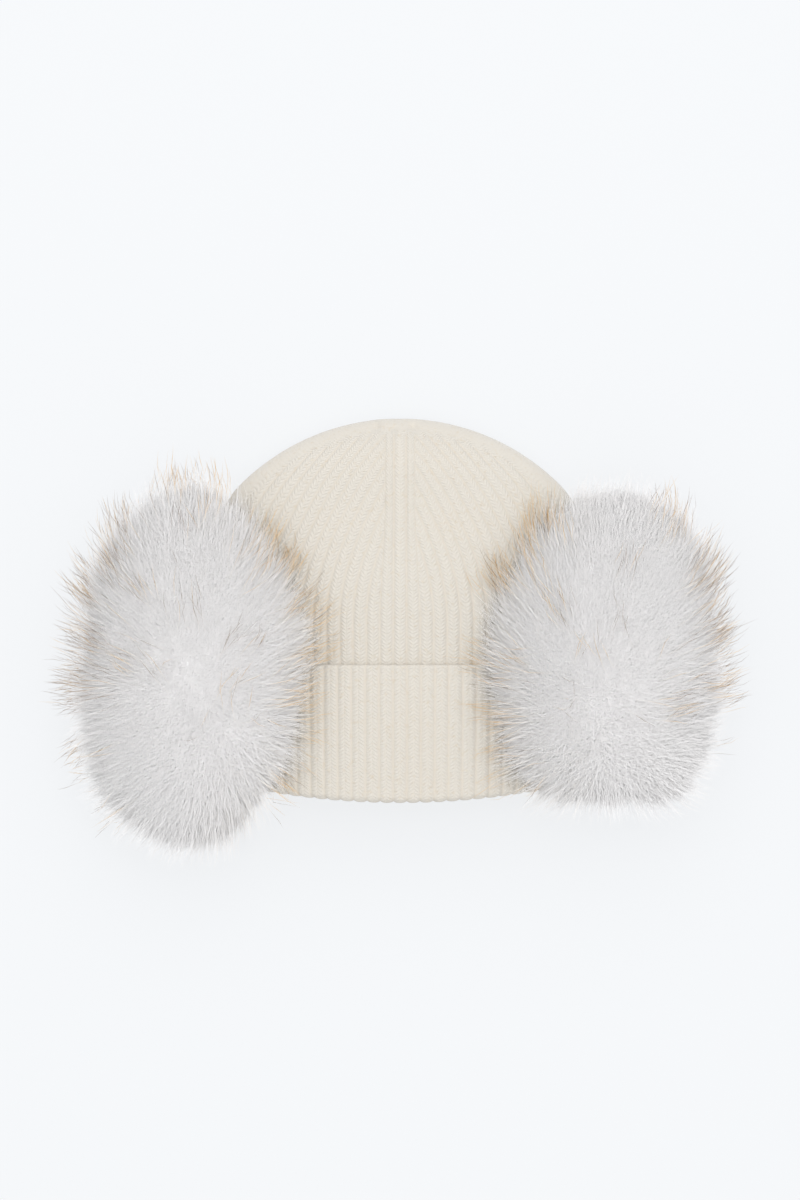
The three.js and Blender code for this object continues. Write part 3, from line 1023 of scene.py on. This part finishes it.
def tint_at(muff, tips):
    """How much of the fur is tinted at each tip, and how much of that is brown."""
    tinted = np.full(len(tips), STRAY_TINT)
    dark = np.full(len(tips), STRAY_DARK)
    for spot in TINTS[muff["name"]]:
        x = tips[:, 0] - muff["x"] - spot["x"]
        y = tips[:, 1] - muff["y"] - spot["y"]
        here = spot["amount"] * np.exp(-((np.hypot(x, y) / spot["radius"]) ** 2))
        dark = np.where(here > tinted, spot["dark"], dark)
        tinted = np.maximum(tinted, here)
    return tinted, dark


def make_hairs(name, line, width, kind, facing, material):
    """Tapered three-sided hairs along lines of points, each ending in a point.

    Facing is the way that the fur's surface faces at each hair, which shades most of it.
    """
    count, knots = line.shape[:2]
    along = unit(np.diff(line, axis=1))
    side = unit(np.cross(along, np.array(OFF_AXIS)))
    other = np.cross(along, side)
    spin = (np.arange(HAIR_SIDES) / HAIR_SIDES * 2 * math.pi)[:, None]
    circle = np.cos(spin) * side[:, :, None] + np.sin(spin) * other[:, :, None]
    profile = 1 - TAPER * (np.arange(knots - 1) / (knots - 1)) ** TAPER_POWER
    radius = (width[:, None] * profile / 2)[:, :, None, None]
    body = line[:, :-1, None] + circle * radius
    per_hair = HAIR_SIDES * (knots - 1) + 1
    points = np.concatenate([body.reshape(count, -1, 3), line[:, -1:]], 1)
    normals = mix(circle, facing[:, None, None], FACING).reshape(count, -1, 3)
    normals = unit(np.concatenate([normals, facing[:, None]], 1))
    base = per_hair * np.arange(count)[:, None, None]
    k = np.arange(HAIR_SIDES)
    beyond = (k + 1) % HAIR_SIDES
    groups = []
    for level in range(knots - 2):
        low, high = HAIR_SIDES * level, HAIR_SIDES * (level + 1)
        quads = np.stack([low + k, low + beyond, high + beyond, high + k], -1)
        groups.append((quads[None] + base).reshape(-1, 4))
    low = HAIR_SIDES * (knots - 2)
    tips = np.stack([low + k, low + beyond, np.full(HAIR_SIDES, per_hair - 1)], -1)
    groups.append((tips[None] + base).reshape(-1, 3))
    share = np.append(np.repeat(np.arange(knots - 1), HAIR_SIDES), knots - 1) / (knots - 1)
    across = kind[:, None] + MAP_STEP * np.append(np.tile([-1, 0, 1], knots - 1), 0)
    hair_map = np.stack([across, np.broadcast_to(share, across.shape)], -1).reshape(-1, 2)
    hair_map = hair_map[np.concatenate([g.ravel() for g in groups])]
    hair_map = hair_map * (1 - 2 * MAP_MARGIN) + MAP_MARGIN
    points = points.reshape(-1, 3)
    return new_piece(name, points, groups, material, hair_map, "OFBake", normals)


def make_muff(muff, padding_cloth, fur):
    """The padding, then each coat of hairs, which follow guides that gather them in locks."""
    rng = np.random.default_rng(muff["seed"])
    outline = muff_outline(muff)
    make_padding(muff, outline, padding_cloth)
    guide_root, guide_out, _, _ = strewn(muff, outline, GUIDES, rng)
    guides = len(guide_root)
    guide_lean = combed(muff, guide_root, guide_out, GUIDE_WANDER, rng)
    guide_lean *= rng.uniform(*GUIDE_SWEEP, (guides, 1))
    guide_hold = rng.uniform(*GUIDE_HOLD, guides)
    guide_luck = rng.random(guides)
    guide_uneven = rng.normal(0, GUIDE_UNEVENNESS, guides)
    hat_side = -np.sign(muff["x"])
    for coat in COATS:
        root, out, turn, rise = strewn(muff, outline, coat["count"], rng)
        hairs = len(root)
        guide = nearest(root, guide_root)
        rim = rimward(rise)
        by_hat = np.maximum(hat_side * np.cos(2 * math.pi * turn), 0) * rim
        uneven = HAIR_UNEVENNESS * rng.normal(0, 1, hairs) + guide_uneven[guide]
        uneven = np.clip(uneven, -MOST_UNEVEN, MOST_UNEVEN)
        inset = fur_inset(muff, turn, rise, coat["inset"], coat["rim"])
        inset -= coat["drape"] * by_hat
        inset += (coat["spread"] + RIM_SPREAD * rim) * uneven
        edge = on_muff(muff, outline, turn, rise, 0)
        height = np.linalg.norm(edge - root, axis=-1) - np.maximum(inset, -FURTHEST)
        height = np.maximum(height, SHORTEST)
        lean = combed(muff, root, out, coat["wander"], rng)
        lean *= coat["sweep"] * rng.uniform(*SWEEP_RANGE, (hairs, 1))
        line = hair_lines(root, out, lean, height, coat["knots"])
        lead = hair_lines(
            guide_root[guide],
            guide_out[guide],
            guide_lean[guide] * coat["sweep"],
            height,
            coat["knots"],
        )
        t = np.linspace(0, 1, coat["knots"])
        hold = coat["hold"] * guide_hold[guide][:, None] * t**HOLD_POWER
        line = mix(line, lead, hold[..., None])
        line += rng.normal(0, CRINKLE, line.shape) * t[:, None]
        line, _ = clear_of_hat(line, BERTH)
        width = coat["width"] * rng.uniform(*WIDTH_RANGE, hairs)
        # white hairs beside the hat get painted warm light in the crease
        kind = WHITE_KINDS * rng.random(hairs) + PAINTED_WARM_LIGHT_KIND * np.sqrt(by_hat)
        if coat["name"] == "tinted_hairs":
            tinted, dark = tint_at(muff, line[:, -1])
            kind = np.where(rng.random(hairs) < dark, BROWN_KIND, TAN_KIND)
            luck = (1 - LOCK_LUCK) * rng.random(hairs) + LOCK_LUCK * guide_luck[guide]
            kept = luck < TINTED_SHARE * tinted**TINT_POWER
            line, width, kind, out = line[kept], width[kept], kind[kept], out[kept]
        name = muff["side"] + "_" + coat["name"]
        piece = make_hairs(name, line, width, kind, lifted(out), fur)
        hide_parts(muff["name"])


# Stage


def make_table():
    mesh = bpy.data.meshes.new("table")
    corners = [(-1, -1, 0), (1, -1, 0), (1, 1, 0), (-1, 1, 0)]
    corners = [tuple(TABLE_REACH * value for value in corner) for corner in corners]
    mesh.from_pydata(corners, [], [(0, 1, 2, 3)])
    table = bpy.data.objects.new("table", mesh)
    bpy.context.scene.collection.objects.link(table)
    material, _, surface = shader("table_paint")
    finished(surface, {"Base Color": TABLE_PAINT, "Roughness": 0.85})
    finished(surface, {"Specular IOR Level": 0.2})
    finished(surface, {"Emission Color": DAYLIGHT, "Emission Strength": TABLE_GLOW})
    mesh.materials.append(material)


def make_lights():
    world = bpy.data.worlds.new("studio")
    bpy.context.scene.world = world
    world.use_nodes = True
    sky = world.node_tree.nodes["Background"]
    finished(sky, {"Color": DAYLIGHT, "Strength": SKY_STRENGTH})
    for lamp in LAMPS:
        light = bpy.data.lights.new(lamp["name"], "AREA")
        light.shape = "SQUARE"
        light.size = lamp["size"]
        light.energy = lamp["power"]
        stand = bpy.data.objects.new(lamp["name"], light)
        stand.location = lamp["at"]
        stand.rotation_euler = Vector(lamp["at"]).to_track_quat("Z", "Y").to_euler()
        bpy.context.scene.collection.objects.link(stand)


def make_camera():
    data = bpy.data.cameras.new("overhead_view")
    data.sensor_fit = "VERTICAL"
    data.sensor_height = SENSOR
    data.lens = SENSOR * CAMERA_HEIGHT / FRAME_HEIGHT
    camera = bpy.data.objects.new("overhead_view", data)
    camera.location = (0.0, FRAME_MIDDLE, CAMERA_HEIGHT)
    bpy.context.scene.collection.objects.link(camera)
    bpy.context.scene.camera = camera


make_camera()
make_lights()
make_table()
bpy.context.scene.view_settings.view_transform = "Standard"

stitches = knit_stitches()
make_crown(knit_material("crown_rib_knit", stitches, -LEG_SLANT))
make_cuff(knit_material("cuff_rib_knit", stitches, LEG_SLANT))
padding_cloth = backing_material()
for muff in MUFFS:
    make_muff(muff, padding_cloth, fur_material(muff["side"] + "_white_fur"))
